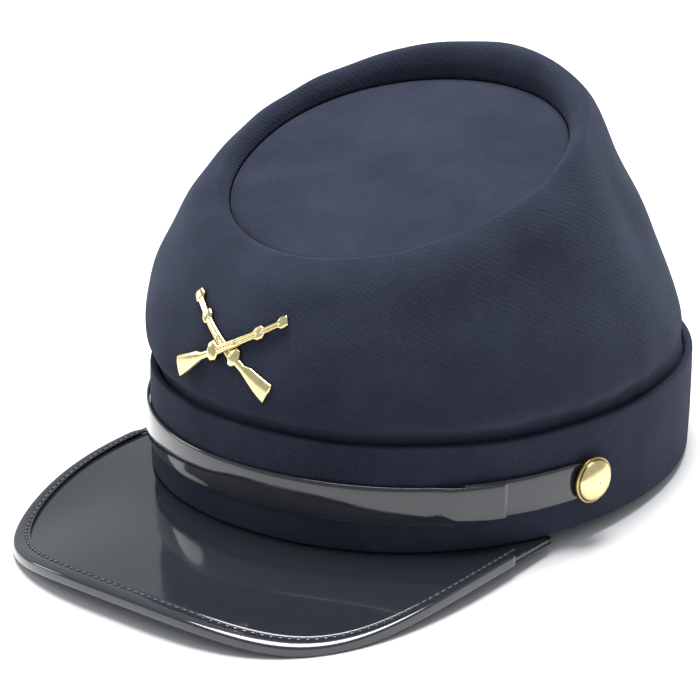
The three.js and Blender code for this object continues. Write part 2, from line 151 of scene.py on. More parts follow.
# Studio, in metres and watts
FLOOR_HALF = 6.0
SKY, SKY_STRENGTH = (0.9, 0.95, 1.0, 1), 0.5
LIGHT_AIM = (0, 0, 0.05)
OVERHEAD_PLACE, OVERHEAD_SIZE, OVERHEAD_POWER = (-0.1, 0.15, 1.3), 0.9, 30.0
WINDOW_PLACE, WINDOW_SIZE, WINDOW_POWER = (-1.0, -0.35, 0.45), 0.45, 2.2

# The photograph's camera, in millimetres about the middle of the band
CAMERA_TURN, CAMERA_RISE = math.radians(38.2), math.radians(21.1)
CAMERA_DISTANCE, CAMERA_RIGHT, CAMERA_UP = 918.5, -25.59, 31.17
CAMERA_TILT = math.radians(1.01)  # how far the cap tipped back in the photograph
CAMERA_LENS, CAMERA_SENSOR = 133.5, 36.0

# How the cap stands in the part's frame
_, band_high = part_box("band")
SHIFT_Y = band_high[1] / MM - (
    BAND_HALF_LENGTH * math.cos(REST_TILT) + (BAND_HEIGHT - BAND_WALL / 2) * math.sin(REST_TILT)
)
SHIFT_Z = BAND_HALF_LENGTH * math.sin(REST_TILT) - REST_FLAT


def tipped(points, angle):
    """Points turned about X so that the front lifts."""
    out = np.array(points, dtype=float)
    y, z = out[..., 1].copy(), out[..., 2].copy()
    out[..., 1] = y * math.cos(angle) + z * math.sin(angle)
    out[..., 2] = z * math.cos(angle) - y * math.sin(angle)
    return out


def placed(points):
    """Cap-frame millimetres to part-frame metres, pressed flat on the table."""
    out = tipped(points, REST_TILT) + np.array([0.0, SHIFT_Y, SHIFT_Z])
    out[..., 2] = np.maximum(out[..., 2], 0.0)
    return out * MM


# Shapes

def oval(half_width, half_length, angle, power=OVAL_POWER):
    sin, cos = np.sin(angle), np.cos(angle)
    reach = (np.abs(sin) ** power + np.abs(cos) ** power) ** (-1 / power)
    return np.stack([half_width * sin * reach, -half_length * cos * reach, 0 * reach], -1)


def band_point(angle, offset, height):
    """A point off the band's outside by an offset, at a height."""
    angle, offset, height = np.broadcast_arrays(np.asarray(angle, float), offset, height)
    step = 1e-3
    here = oval(BAND_HALF_WIDTH, BAND_HALF_LENGTH, angle)
    along = oval(BAND_HALF_WIDTH, BAND_HALF_LENGTH, angle + step)
    along = along - oval(BAND_HALF_WIDTH, BAND_HALF_LENGTH, angle - step)
    along /= np.linalg.norm(along, axis=-1, keepdims=True)
    normal = np.stack([along[..., 1], -along[..., 0], 0 * offset], -1)
    point = here + normal * offset[..., None]
    point[..., 2] = height
    return point


def round_the_cap(values, angle):
    front, side, back = values
    cos = np.cos(angle)
    return side + (np.where(cos > 0, front, back) - side) * cos**2


def dent_at(angle, lift):
    total = np.zeros_like(angle)
    for turn, height, spread, tall, depth in DENTS:
        away = (np.degrees(angle) - turn + 180) % 360 - 180
        total += depth * np.exp(-((away / spread) ** 2) - ((lift - height) / tall) ** 2)
    return total


def on_rim_plane(x, back, rise):
    cos, sin = math.cos(RIM_TILT), math.sin(RIM_TILT)
    return np.stack([x, RIM_Y + back * cos - rise * sin, RIM_Z + back * sin + rise * cos], -1)


def crown_controls(angle):
    """The points that the crown's profile passes through, for an array of angles."""
    foot = band_point(angle, -BAND_WALL - GAP, BAND_HEIGHT)
    crest = oval(RIM_HALF_WIDTH, RIM_HALF_LENGTH, angle, 2)
    rim = on_rim_plane(crest[:, 0], crest[:, 1], 0 * angle)
    outwards = np.stack([np.sin(angle), -np.cos(angle), 0 * angle], -1)
    first = foot.copy()
    first[:, 2] = CROWN_TUCK
    points = [first]
    for lift, *puffs in CROWN_SECTIONS:
        p = foot + (rim - foot) * max(lift, 0)
        p[:, 2] = BAND_HEIGHT + (rim[:, 2] - BAND_HEIGHT) * lift
        if 0.05 < lift < 1:
            p = p + outwards * (round_the_cap(puffs, angle) - dent_at(angle, lift))[:, None]
        points.append(p)
    seam = oval(TOP_HALF_WIDTH, TOP_HALF_LENGTH, angle, 2)
    seam[:, 1] += TOP_CENTRE
    rise = round_the_cap(RIM_RISE, angle)
    for inward, share in RIM_ROLL:
        across = crest + (seam - crest) * inward
        points.append(on_rim_plane(across[:, 0], across[:, 1], (share - 1) * rise))
    return np.stack(points, 1)


def spline(controls, steps):
    """Smooth curves through rows of points, with the same steps in every span."""
    first = 2 * controls[:, :1] - controls[:, 1:2]
    last = 2 * controls[:, -1:] - controls[:, -2:-1]
    p = np.concatenate([first, controls, last], 1)
    gaps = np.sqrt(np.linalg.norm(np.diff(p, axis=1), axis=-1, keepdims=True)) + 1e-6
    p0, p1, p2, p3 = p[:, :-3], p[:, 1:-2], p[:, 2:-1], p[:, 3:]
    g0, g1, g2 = gaps[:, :-2], gaps[:, 1:-1], gaps[:, 2:]
    t1 = ((p1 - p0) / g0 - (p2 - p0) / (g0 + g1) + (p2 - p1) / g1) * g1
    t2 = ((p2 - p1) / g1 - (p3 - p1) / (g1 + g2) + (p3 - p2) / g2) * g1
    rows = []
    for span, count in enumerate(steps):
        for s in np.arange(count) / count:
            h = (2 * s**3 - 3 * s**2 + 1, s**3 - 2 * s**2 + s, 3 * s**2 - 2 * s**3, s**3 - s**2)
            rows.append(h[0] * p1[:, span] + h[1] * t1[:, span] + h[2] * p2[:, span] + h[3] * t2[:, span])
    rows.append(controls[:, len(steps)])
    return np.stack(rows, 1)


def grid_normals(grid):
    """The way that a grid closed round the cap faces at each of its points."""
    along = np.roll(grid, -1, 0) - np.roll(grid, 1, 0)
    up = np.gradient(grid, axis=1)
    normal = np.cross(along, up)
    return normal / (np.linalg.norm(normal, axis=-1, keepdims=True) + 1e-9)


def crown_wall(angle, height):
    """Points on the crown's wall at angles and heights, for arrays of both."""
    steps = 8
    rows = spline(crown_controls(angle), [steps] * len(CROWN_SECTIONS))[:, steps:]
    index = np.argmax(rows[:, :, 2] >= height[:, None], axis=1)
    index = np.clip(index, 1, rows.shape[1] - 1)
    which = np.arange(len(angle))
    low, high = rows[which, index - 1], rows[which, index]
    share = (height - low[:, 2]) / (high[:, 2] - low[:, 2] + 1e-9)
    return low + (high - low) * share[:, None]


def wall_frame(angle, height):
    """Points on the crown's wall, and the way it faces there."""
    turn, lift = 0.02, 1.0
    along = crown_wall(angle + turn, height) - crown_wall(angle - turn, height)
    up = crown_wall(angle, height + lift) - crown_wall(angle, height - lift)
    normal = np.cross(along, up)
    normal /= np.linalg.norm(normal, axis=-1, keepdims=True)
    return crown_wall(angle, height), normal, up / np.linalg.norm(up, axis=-1, keepdims=True)


# Mesh making

def mesh_object(name, points, faces, uvs=None, values=None):
    """A smooth object from part-frame points; uvs in metres and values are given per point."""
    mesh = bpy.data.meshes.new(name)
    mesh.from_pydata(points.reshape(-1, 3).tolist(), [], faces)
    mesh.polygons.foreach_set("use_smooth", [True] * len(mesh.polygons))
    if uvs is not None:
        layer = mesh.uv_layers.new(name="UVMap")
        corners = np.empty(len(mesh.loops), dtype=np.int32)
        mesh.loops.foreach_get("vertex_index", corners)
        layer.data.foreach_set("uv", uvs.reshape(-1, 2)[corners].astype(np.float32).ravel())
    for key, data in (values or {}).items():
        attribute = mesh.attributes.new(key, "FLOAT", "POINT")
        attribute.data.foreach_set("value", np.asarray(data, np.float32).ravel())
    mesh.validate()
    mesh.update()
    obj = bpy.data.objects.new(name, mesh)
    bpy.context.scene.collection.objects.link(obj)
    return obj


def swept(name, loops, closed, values=None):
    """A closed skin over a run of closed loops (stations, points of a loop, 3), in cap millimetres."""
    stations, size = loops.shape[:2]
    points = placed(loops)
    index = np.arange(stations * size).reshape(stations, size)
    here = index if closed else index[:-1]
    after = np.roll(index, -1, 0) if closed else index[1:]
    quads = np.stack([here, np.roll(here, -1, 1), np.roll(after, -1, 1), after], -1).reshape(-1, 4)
    flat = points.reshape(-1, 3)
    a, b, c, d = (flat[quads[:, i]] for i in range(4))
    volume = np.sum(a * np.cross(b, c)) + np.sum(a * np.cross(c, d))
    faces = [list(map(int, q)) for q in (quads if volume > 0 else quads[:, ::-1])]
    if not closed:
        caps = [index[0].tolist()[::-1], index[-1].tolist()]
        faces += caps if volume > 0 else [cap[::-1] for cap in caps]
    run = np.linalg.norm(np.diff(points.mean(1), axis=0), axis=-1)
    u = np.concatenate([[0.0], np.cumsum(run)])
    girth = np.linalg.norm(points - np.roll(points, 1, 1), axis=-1).mean(0)
    v = np.cumsum(girth) - girth[0]
    uvs = np.stack(np.broadcast_arrays(u[:, None], v[None, :]), -1)
    return mesh_object(name, flat, faces, uvs, values)


def rounded(loop_2d, radius, steps=4):
    """A loop of corners with each corner rounded, as rows of two numbers."""
    loop = np.asarray(loop_2d, float)
    out = []
    for before, corner, after in zip(np.roll(loop, 1, 0), loop, np.roll(loop, -1, 0)):
        reach = [min(radius, 0.45 * np.linalg.norm(p - corner)) for p in (before, after)]
        start = corner + (before - corner) / np.linalg.norm(before - corner) * reach[0]
        end = corner + (after - corner) / np.linalg.norm(after - corner) * reach[1]
        for s in np.linspace(0, 1, steps + 1):
            out.append((1 - s) ** 2 * start + 2 * s * (1 - s) * corner + s**2 * end)
    return np.array(out)


# Cloth

def make_crown():
    angle = np.arange(CROWN_COUNT) / CROWN_COUNT * 2 * math.pi
    grid = spline(crown_controls(angle), CROWN_STEPS)
    normal = grid_normals(grid)
    height = grid[:, :, 2]
    turn = np.broadcast_to(angle[:, None], height.shape)
    above = np.clip(height - BAND_HEIGHT, 0, None)
    loose = np.clip((height - BAND_HEIGHT - 1) / 6, 0, 1)
    gathers = np.exp(-above / GATHER_REACH) * np.sin(turn * GATHERS + 2 * np.sin(turn * 5))
    broad = np.sin(turn * 7 + height * 0.05 + 1.3) * np.sin(height * 0.09 + turn * 2)
    narrow = np.sin(turn * 13 - height * 0.11) * np.sin(height * 0.13 + 2.1)
    wave = GATHER_DEPTH * gathers + SLACK_DEPTHS[0] * broad + SLACK_DEPTHS[1] * narrow
    row = np.arange(grid.shape[1])
    rim_free = np.clip((row[-1] - row) / RIM_ROWS, 0, 1)
    grid = grid + normal * (wave * loose * rim_free[None, :])[..., None]
    hem = CLOTH - (CLOTH - HEM) * np.clip((row - (row[-1] - HEM_ROWS)) / HEM_FADE, 0, 1)
    inner = grid - grid_normals(grid) * hem[None, :, None]
    return swept("crown_cloth", np.concatenate([grid, inner[:, ::-1]], 1), True)


def make_top():
    around, rings = TOP_COUNT, TOP_RINGS
    angle = np.arange(around) / around * 2 * math.pi
    share = np.linspace(0, 1, rings + 1)[1:]
    r, a = np.meshgrid(share, angle)
    edge = oval(TOP_HALF_WIDTH - GAP, TOP_HALF_LENGTH - GAP, angle, 2)
    x, y = edge[:, :1] * share, edge[:, 1:2] * share + TOP_CENTRE
    sunk = -(r**2) * round_the_cap(RIM_RISE, a) - (1 - r**2) * RIM_RISE[1]
    ripple = TOP_RIPPLE * np.sin(x * 0.09 + 1) * np.sin(y * 0.07) * (1 - r**4)
    ripple -= SEAM_DIP * np.exp(-(((1 - r) * TOP_HALF_LENGTH) ** 2) / 6)
    upper = on_rim_plane(x, y, sunk + TOP_DOME * (1 - r**2) + ripple)
    down = np.array([0, -math.sin(RIM_TILT), math.cos(RIM_TILT)]) * CLOTH
    lower = upper - down
    poles = on_rim_plane(np.zeros(1), np.array([TOP_CENTRE]), np.array([TOP_DOME - RIM_RISE[1]]))
    poles = np.concatenate([poles, poles - down])
    points = placed(np.concatenate([upper.reshape(-1, 3), lower.reshape(-1, 3), poles]))
    index = np.arange(around * rings).reshape(around, rings)
    faces = []
    offset, top_pole = around * rings, 2 * around * rings
    for i in range(around):
        j = (i + 1) % around
        faces.append([top_pole, int(index[j, 0]), int(index[i, 0])][::-1])
        faces.append([top_pole + 1, int(index[i, 0]) + offset, int(index[j, 0]) + offset][::-1])
        for k in range(rings - 1):
            quad = [int(index[i, k]), int(index[i, k + 1]), int(index[j, k + 1]), int(index[j, k])]
            faces.append(quad)
            faces.append([q + offset for q in quad][::-1])
        here, after = int(index[i, -1]), int(index[j, -1])
        faces.append([here, here + offset, after + offset, after])
    uvs = points[:, :2].copy()
    return mesh_object("crown_top_cloth", points, faces, uvs)


def make_band():
    angle = np.arange(BAND_COUNT) / BAND_COUNT * 2 * math.pi
    corners = [(0, 0), (0, BAND_HEIGHT / 3), (0, BAND_HEIGHT * 2 / 3), (0, BAND_HEIGHT)]
    corners += [(-BAND_WALL, BAND_HEIGHT), (-BAND_WALL, BAND_HEIGHT / 2), (-BAND_WALL, 0)]
    section = rounded(corners, BAND_EDGE)
    turn, offset = np.meshgrid(angle, section[:, 0], indexing="ij")
    height = np.broadcast_to(section[:, 1], turn.shape)
    middle = np.sin(np.clip(height / BAND_HEIGHT, 0, 1) * math.pi)
    wave = BAND_WAVES[0] * np.sin(turn * 9 + height * 0.06) + BAND_WAVES[1] * np.sin(turn * 23 + 1.7)
    edge = BAND_EDGE_WAVE * np.sin(turn * 11) * (height > BAND_HEIGHT / 2)
    return swept("band_cloth", band_point(turn, offset + wave * middle, height + edge), True)


# Patent leather

def peak_point(turn, inset, height):
    """A point over the peak: inset from its edge in millimetres, or below zero as a share."""
    turn, inset, height = np.broadcast_arrays(np.asarray(turn, float), inset, height)
    end = math.atan2(PEAK_HALF_WIDTH / BAND_HALF_WIDTH, -PEAK_ROOT_Y / BAND_HALF_LENGTH)
    root = band_point(turn / (math.pi / 2) * end, -BAND_WALL, -GAP)
    edge = oval(PEAK_HALF_WIDTH, PEAK_LENGTH, turn, PEAK_POWER)
    share = np.abs(edge[..., 0] / PEAK_HALF_WIDTH) ** PEAK_POWER
    drop = PEAK_FRONT_DROP * (1 - share) + 4 * PEAK_CORNER_DROP * share * (1 - share)
    edge[..., 1] += PEAK_ROOT_Y
    width = np.hypot(edge[..., 0] - root[..., 0], edge[..., 1] - root[..., 1])
    out = np.where(inset < 0, 1 + inset, 1 - inset / width)
    point = root + (edge - root) * out[..., None]
    point[..., 2] = -GAP - drop * np.maximum(out, 0) ** 1.25 + height
    return point


def make_peak():
    turn = np.linspace(-math.pi / 2, math.pi / 2, PEAK_COUNT)
    insets = np.concatenate([np.linspace(-1, -0.05, PEAK_ROWS), [BINDING_THICKNESS + GAP]])
    upper = peak_point(turn[:, None], insets[None, :], 0.0)
    lower = upper[:, ::-1] - np.array([0, 0, PEAK_THICKNESS])
    return swept("peak_board", np.concatenate([upper, lower], 1), False)


def make_binding():
    outside = GAP + BINDING_THICKNESS
    under = -PEAK_THICKNESS - outside
    low = -PEAK_THICKNESS - GAP
    section = rounded(
        [(BINDING_WIDTH, outside)] + [(STITCH_INSET + d, outside) for d in (0.8, 0.4, 0.0, -0.4, -0.8)]
        + [(2.4, outside + 0.1), (0.0, outside - 0.25), (0.0, under + 0.3), (2.2, under)]
        + [(BINDING_WIDTH, under), (BINDING_WIDTH, low), (BINDING_FOLD, low)]
        + [(BINDING_FOLD, GAP), (BINDING_WIDTH, GAP)],
        BINDING_FOLD,
    )
    turn = np.linspace(-BINDING_END, BINDING_END, BINDING_COUNT)
    inset, height = section[:, 0], section[:, 1]
    groove = GROOVE_DEPTH * np.exp(-(((inset - STITCH_INSET) / GROOVE_SPREAD) ** 2))
    groove = groove * (height > GAP + 0.2)
    loops = peak_point(turn[:, None], inset[None, :], (height - groove)[None, :])
    return swept("peak_edge_binding", loops, False)


def strap_lift(angle):
    """How far the long strap stands off the band: further where it lies over the tab."""
    s = np.clip((angle - CLIMB_START) / (CLIMB_END - CLIMB_START), 0, 1)
    return GAP + (STRAP_THICKNESS + GAP) * s * s * (3 - 2 * s)


def tab_lift(angle):
    return np.full_like(angle, GAP)


def make_strap(name, start, end, tip_angle, lift):
    """A strap round the band that narrows to a tip at one of its ends."""
    angle = np.linspace(start, end, STRAP_COUNT)
    middle = (STRAP_LOW + STRAP_HIGH) / 2
    tip = np.minimum(np.abs(angle - tip_angle) * BAND_HALF_WIDTH, STRAP_TIP_LENGTH)
    full = np.sin(tip / STRAP_TIP_LENGTH * math.pi / 2)
    half = (STRAP_TIP_WIDTH + (STRAP_HIGH - STRAP_LOW - STRAP_TIP_WIDTH) * full) / 2
    corners = [(0, -1), (STRAP_THICKNESS, -1), (STRAP_THICKNESS, 0), (STRAP_THICKNESS, 1), (0, 1)]
    section = rounded(corners, STRAP_EDGE)
    swell = STRAP_SWELL * (1 - section[:, 1] ** 2) * (section[:, 0] > STRAP_THICKNESS / 2)
    wave = STRAP_WAVE * (np.sin(angle * 19 + 0.6) + np.sin(angle * 11))
    offset = section[None, :, 0] + swell + (lift(angle) + np.maximum(wave, 0))[:, None]
    wander = STRAP_WANDER * np.sin(angle * 6)
    height = middle + half[:, None] * section[None, :, 1] + wander[:, None]
    return swept(name, band_point(angle[:, None], offset, height), False)


# Brass

def make_button(name, side):
    dome = np.linspace(0.08, math.pi / 2 - 0.002, DOME_COUNT)
    dome_rise = BUTTON_RISE - DOME_FOOT
    profile = [(share * BUTTON_RADIUS, height) for share, height in BUTTON_RIM]
    profile += [(DOME_RADIUS * math.cos(t), DOME_FOOT + dome_rise * math.sin(t)) for t in dome]
    profile = np.array(profile)
    spin = np.arange(BUTTON_COUNT) / BUTTON_COUNT * 2 * math.pi
    middle = (STRAP_LOW + STRAP_HIGH) / 2
    seat = band_point(side * BUTTON_ANGLE, STRAP_THICKNESS + 2 * GAP, middle)
    out = band_point(side * BUTTON_ANGLE, STRAP_THICKNESS + 2 * GAP + 1, middle) - seat
    across = np.cross([0, 0, 1], out)
    r, h = profile[:, 0], profile[:, 1]
    ring = np.cos(spin)[:, None, None] * across + np.sin(spin)[:, None, None] * np.array([0, 0, 1.0])
    points = seat + ring * r[None, :, None] + out * h[None, :, None]
    relief = np.clip(h - 1.2, 0, 1) * (np.abs(r - RING_RADIUS) > RING_SPREAD)
    return swept(name, points, True, {"relief": np.broadcast_to(relief, points.shape[:2])})


def raised_at(along, place, half_width):
    """One across a flat-topped rise along the rifle, and nothing away from it."""
    return np.exp(-(((along - place) / half_width) ** 4))


def rifle_points(side, off):
    """One rifle as loops round its length, lying on the front of the crown."""
    table = np.array(RIFLE_OUTLINE)
    along = np.unique(np.concatenate([np.linspace(0, 1, RIFLE_COUNT), table[:, 0]]))
    above = np.interp(along, table[:, 0], table[:, 1])
    below = np.interp(along, table[:, 0], table[:, 2])
    q = np.concatenate([[-1], np.linspace(-1, 1, 17), [1]])
    body = np.sqrt(np.clip(1 - q**2, 0, 1))
    twin = np.sqrt(np.clip(1 - ((np.abs(q) - 0.5) / 0.5) ** 2, 0, 1))
    breech, muzzle = RIFLE_BARREL
    barrel = np.clip((along - breech) / 0.03, 0, 1) * np.clip((muzzle - along) / 0.02, 0, 1)
    ringed = np.clip(sum(raised_at(along, *band) for band in RIFLE_BANDS), 0, 1)
    barrel = barrel * (1 - ringed)
    crest = body[None, :] * (1 - barrel[:, None]) + twin[None, :] * 0.92 * barrel[:, None]
    rise = RIFLE_DEPTH * (0.45 + 0.55 * crest)
    rise[:, 0] = rise[:, -1] = 0.0
    lock = raised_at(along, *RIFLE_LOCK)
    rise += (0.25 * lock + 0.12 * ringed)[:, None] * (rise > 0)
    aside = np.where(q[None, :] > 0, q * above[:, None], q * below[:, None]) * RIFLE_LENGTH
    run = (along[:, None] - RIFLE_CROSS_AT) * RIFLE_LENGTH
    cos, sin = math.cos(RIFLE_SLOPE), math.sin(RIFLE_SLOPE)
    front, _, up = wall_frame(np.zeros(1), np.array([BADGE_HEIGHT]))
    x = side * (run * cos - aside * sin) + BADGE_ASIDE
    y = run * sin + aside * cos
    point, normal, _ = wall_frame((x / -front[0, 1]).ravel(), (BADGE_HEIGHT + y * up[0, 2]).ravel())
    points = (point + normal * (off + rise).ravel()[:, None]).reshape(x.shape + (3,))
    return points, rise / RIFLE_DEPTH


def make_badge():
    parts = []
    for name, side, off in (("badge_rifles", -1, GAP), ("badge_upper", 1, GAP + RIFLE_STEP)):
        points, relief = rifle_points(side, off)
        parts.append(swept(name, points, False, {"relief": relief}))
    with bpy.context.temp_override(
        active_object=parts[0], selected_objects=parts, selected_editable_objects=parts
    ):
        bpy.ops.object.join()
    return parts[0]


# Stitches, by Geometry Nodes

def stitch_tree():
    """Lays one rounded stitch on every point, turned along the point's own direction."""
    tree = bpy.data.node_groups.new("StitchRow", "GeometryNodeTree")
    tree.interface.new_socket("Geometry", in_out="INPUT", socket_type="NodeSocketGeometry")
    for name, value in (("Stitch Length", STITCH_LENGTH * MM), ("Thread Width", THREAD_WIDTH * MM)):
        socket = tree.interface.new_socket(name, in_out="INPUT", socket_type="NodeSocketFloat")
        socket.default_value = value
    seed = tree.interface.new_socket("Seed", in_out="INPUT", socket_type="NodeSocketInt")
    seed.default_value = SEED
    tree.interface.new_socket("Material", in_out="INPUT", socket_type="NodeSocketMaterial")
    tree.interface.new_socket("Geometry", in_out="OUTPUT", socket_type="NodeSocketGeometry")
    nodes, links = tree.nodes, tree.links
    source, sink = nodes.new("NodeGroupInput"), nodes.new("NodeGroupOutput")
    bead = nodes.new("GeometryNodeMeshUVSphere")
    bead.inputs["Segments"].default_value = 10
    bead.inputs["Rings"].default_value = 8
    bead.inputs["Radius"].default_value = 0.5
    size = nodes.new("ShaderNodeCombineXYZ")
    links.new(source.outputs["Thread Width"], size.inputs["X"])
    links.new(source.outputs["Thread Width"], size.inputs["Y"])
    links.new(source.outputs["Stitch Length"], size.inputs["Z"])
    vary = nodes.new("FunctionNodeRandomValue")
    vary.data_type = "FLOAT"
    vary.inputs[2].default_value = 0.88
    vary.inputs[3].default_value = 1.1
    links.new(source.outputs["Seed"], vary.inputs["Seed"])
    scale = nodes.new("ShaderNodeVectorMath")
    scale.operation = "SCALE"
    links.new(size.outputs["Vector"], scale.inputs[0])
    links.new(vary.outputs[1], scale.inputs["Scale"])
    way = nodes.new("GeometryNodeInputNamedAttribute")
    way.data_type = "FLOAT_VECTOR"
    way.inputs["Name"].default_value = "along"
    turn = nodes.new("FunctionNodeAlignRotationToVector")
    turn.axis = "Z"
    links.new(way.outputs["Attribute"], turn.inputs["Vector"])
    place = nodes.new("GeometryNodeInstanceOnPoints")
    links.new(source.outputs["Geometry"], place.inputs["Points"])
    links.new(bead.outputs["Mesh"], place.inputs["Instance"])
    links.new(turn.outputs["Rotation"], place.inputs["Rotation"])
    links.new(scale.outputs["Vector"], place.inputs["Scale"])
    real = nodes.new("GeometryNodeRealizeInstances")
    smooth = nodes.new("GeometryNodeSetShadeSmooth")
    paint = nodes.new("GeometryNodeSetMaterial")
    links.new(place.outputs["Instances"], real.inputs["Geometry"])
    links.new(real.outputs["Geometry"], smooth.inputs["Geometry"])
    links.new(smooth.outputs["Geometry"], paint.inputs["Geometry"])
    links.new(source.outputs["Material"], paint.inputs["Material"])
    links.new(paint.outputs["Geometry"], sink.inputs["Geometry"])
    return tree


def make_stitches(name, path, spacing, material):
    """A row of stitches along a path in cap millimetres."""
    run = np.concatenate([[0], np.cumsum(np.linalg.norm(np.diff(path, axis=0), axis=-1))])
    at = np.arange(spacing / 2, run[-1], spacing)
    points = placed(np.stack([np.interp(at, run, path[:, i]) for i in range(3)], -1))
    along = np.gradient(points, axis=0)
    along /= np.linalg.norm(along, axis=-1, keepdims=True)
    obj = mesh_object(name, points, [])
    attribute = obj.data.attributes.new("along", "FLOAT_VECTOR", "POINT")
    attribute.data.foreach_set("vector", along.astype(np.float32).ravel())
    modifier = obj.modifiers.new("Stitches", "NODES")
    modifier.node_group = stitch_tree()
    for item in modifier.node_group.interface.items_tree:
        if item.in_out == "INPUT" and item.name == "Material":
            modifier[item.identifier] = material
    bpy.context.view_layer.update()
    made = bpy.data.meshes.new_from_object(obj.evaluated_get(bpy.context.evaluated_depsgraph_get()))
    obj.modifiers.remove(modifier)
    obj.data = made
    return obj


# Materials

def new_material(name):
    material = bpy.data.materials.new(name)
    material.use_nodes = True
    nodes, links = material.node_tree.nodes, material.node_tree.links
    return material, nodes, links, nodes["Principled BSDF"]


def noise(nodes, links, vector, scale, detail=3.0, rough=0.55):
    node = nodes.new("ShaderNodeTexNoise")
    node.inputs["Scale"].default_value = scale
    node.inputs["Detail"].default_value = detail
    node.inputs["Roughness"].default_value = rough
    links.new(vector, node.inputs["Vector"])
    return node.outputs["Fac"]


def ramp(nodes, links, factor, low, high):
    """A colour that runs between two stops, each a position and a colour."""
    node = nodes.new("ShaderNodeValToRGB")
    first, last = node.color_ramp.elements
    first.position, first.color = low
    last.position, last.color = high
    links.new(factor, node.inputs["Fac"])
    return node.outputs["Color"]


def bump(nodes, links, height, distance, strength=1.0, normal=None):
    node = nodes.new("ShaderNodeBump")
    node.inputs["Distance"].default_value = distance
    node.inputs["Strength"].default_value = strength
    links.new(height, node.inputs["Height"])
    if normal is not None:
        links.new(normal, node.inputs["Normal"])
    return node.outputs["Normal"]


def handling_group():
    """Smudges and fine scuffs of a handled glossy surface: a roughness share and a scuff mask."""
    group = bpy.data.node_groups.new("Handling", "ShaderNodeTree")
    group.interface.new_socket("Low Roughness", in_out="INPUT", socket_type="NodeSocketFloat")
    group.interface.new_socket("High Roughness", in_out="INPUT", socket_type="NodeSocketFloat")
    group.interface.new_socket("Roughness", in_out="OUTPUT", socket_type="NodeSocketFloat")
    group.interface.new_socket("Scuff", in_out="OUTPUT", socket_type="NodeSocketFloat")
    nodes, links = group.nodes, group.links
    source, sink = nodes.new("NodeGroupInput"), nodes.new("NodeGroupOutput")
    coords = nodes.new("ShaderNodeTexCoord").outputs["Object"]
    smudge = noise(nodes, links, coords, 38.0, 4.0, 0.6)
    spread = nodes.new("ShaderNodeMapRange")
    spread.inputs["From Min"].default_value = 0.35
    spread.inputs["From Max"].default_value = 0.75
    links.new(smudge, spread.inputs["Value"])
    links.new(source.outputs["Low Roughness"], spread.inputs["To Min"])
    links.new(source.outputs["High Roughness"], spread.inputs["To Max"])
    links.new(spread.outputs["Result"], sink.inputs["Roughness"])
    fine = noise(nodes, links, coords, 620.0, 5.0, 0.7)
    scuff = nodes.new("ShaderNodeMapRange")
    scuff.inputs["From Min"].default_value = 0.62
    scuff.inputs["From Max"].default_value = 0.8
    links.new(fine, scuff.inputs["Value"])
    links.new(scuff.outputs["Result"], sink.inputs["Scuff"])
    return group


def use_handling(nodes, group, low, high):
    node = nodes.new("ShaderNodeGroup")
    node.node_tree = group
    node.inputs["Low Roughness"].default_value = low
    node.inputs["High Roughness"].default_value = high
    return node


def wool_material():
    material, nodes, links, shader = new_material("navy_wool")
    coords = nodes.new("ShaderNodeTexCoord")
    place = coords.outputs["Object"]
    nap = noise(nodes, links, place, 900.0, 5.0, 0.65)
    fibre_map = nodes.new("ShaderNodeMapping")
    fibre_map.inputs["Scale"].default_value = (1.0, 1.0, 0.35)
    links.new(place, fibre_map.inputs["Vector"])
    fibres = noise(nodes, links, fibre_map.outputs["Vector"], 2600.0, 3.0, 0.7)
    cloud = noise(nodes, links, place, 46.0, 3.0, 0.55)
    twill = nodes.new("ShaderNodeTexWave")
    twill.wave_type, twill.bands_direction = "BANDS", "DIAGONAL"
    twill.inputs["Scale"].default_value = 260.0
    twill.inputs["Distortion"].default_value = 2.5
    twill.inputs["Detail"].default_value = 2.0
    links.new(coords.outputs["UV"], twill.inputs["Vector"])
    base = ramp(nodes, links, cloud, (0.3, WOOL_DARK), (0.72, WOOL_LIGHT))
    fleck = ramp(nodes, links, fibres, (0.42, NO_FLECK), (0.72, WOOL_FLECK))
    mixed = nodes.new("ShaderNodeMix")
    mixed.data_type, mixed.blend_type = "RGBA", "SCREEN"
    mixed.inputs["Factor"].default_value = 0.28
    links.new(base, mixed.inputs["A"])
    links.new(fleck, mixed.inputs["B"])
    links.new(mixed.outputs["Result"], shader.inputs["Base Color"])
    weave = bump(nodes, links, twill.outputs["Fac"], 0.00012, 0.45)
    woolly = bump(nodes, links, nap, 0.0004, 0.7, weave)
    links.new(bump(nodes, links, fibres, 0.00015, 0.6, woolly), shader.inputs["Normal"])
    shader.inputs["Roughness"].default_value = 0.95
    shader.inputs["Specular IOR Level"].default_value = 0.2
    shader.inputs["Sheen Weight"].default_value = 0.08
    shader.inputs["Sheen Roughness"].default_value = 0.5
    shader.inputs["Sheen Tint"].default_value = WOOL_SHEEN
    return material


def patent_material(group):
    material, nodes, links, shader = new_material("patent_black")
    coords = nodes.new("ShaderNodeTexCoord").outputs["Object"]
    worn = use_handling(nodes, group, 0.05, 0.13)
    links.new(worn.outputs["Roughness"], shader.inputs["Roughness"])
    tint = ramp(nodes, links, worn.outputs["Scuff"], (0.0, PATENT_CLEAN), (1.0, PATENT_SCUFFED))
    links.new(tint, shader.inputs["Base Color"])
    sag = noise(nodes, links, coords, 55.0, 2.0, 0.4)
    grain = noise(nodes, links, coords, 1400.0, 3.0, 0.6)
    sagging = bump(nodes, links, sag, 0.0005, 0.25)
    links.new(bump(nodes, links, grain, 0.00002, 0.5, sagging), shader.inputs["Normal"])
    shader.inputs["Coat Weight"].default_value = 0.6
    shader.inputs["Coat Roughness"].default_value = 0.04
    return material


